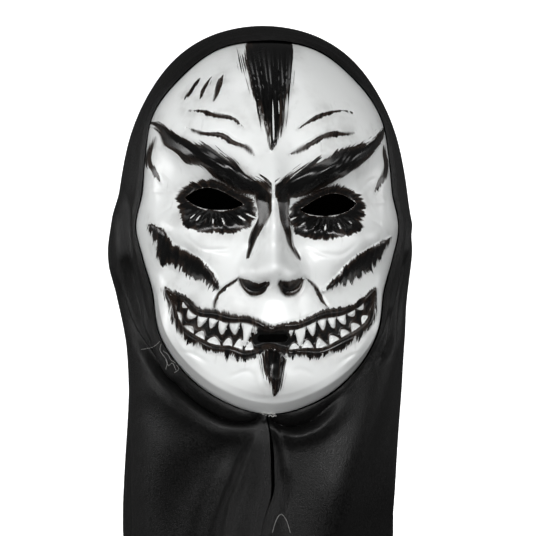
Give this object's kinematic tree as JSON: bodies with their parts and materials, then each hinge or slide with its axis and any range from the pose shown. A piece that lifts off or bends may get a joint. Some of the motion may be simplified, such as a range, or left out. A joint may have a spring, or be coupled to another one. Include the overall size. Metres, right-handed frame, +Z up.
{
  "type": "hooded demon mask",
  "caption": "Glossy white demon face with eye holes, a mouth slit and black brushed paint, sewn into an open black satin hood that is worn over the head.",
  "frame": {"origin": "where the crown of the wearer's head bears inside the top of the hood", "axes": "+Z up, +X towards the viewer's right as the face is seen, and the face looks along -Y"},
  "size_m": [0.1785, 0.2306, 0.345],
  "materials": {
    "painted_plastic": "glossy white formed plastic with black dry-brushed paint",
    "black_satin": "black polyester satin with a soft sheen",
    "white_thread": "spun white sewing thread of the chin tack and the loose ends"
  },
  "bodies": {
    "root": {"face_shell": "painted_plastic", "hood": "black_satin"}
  },
  "joints": []
}
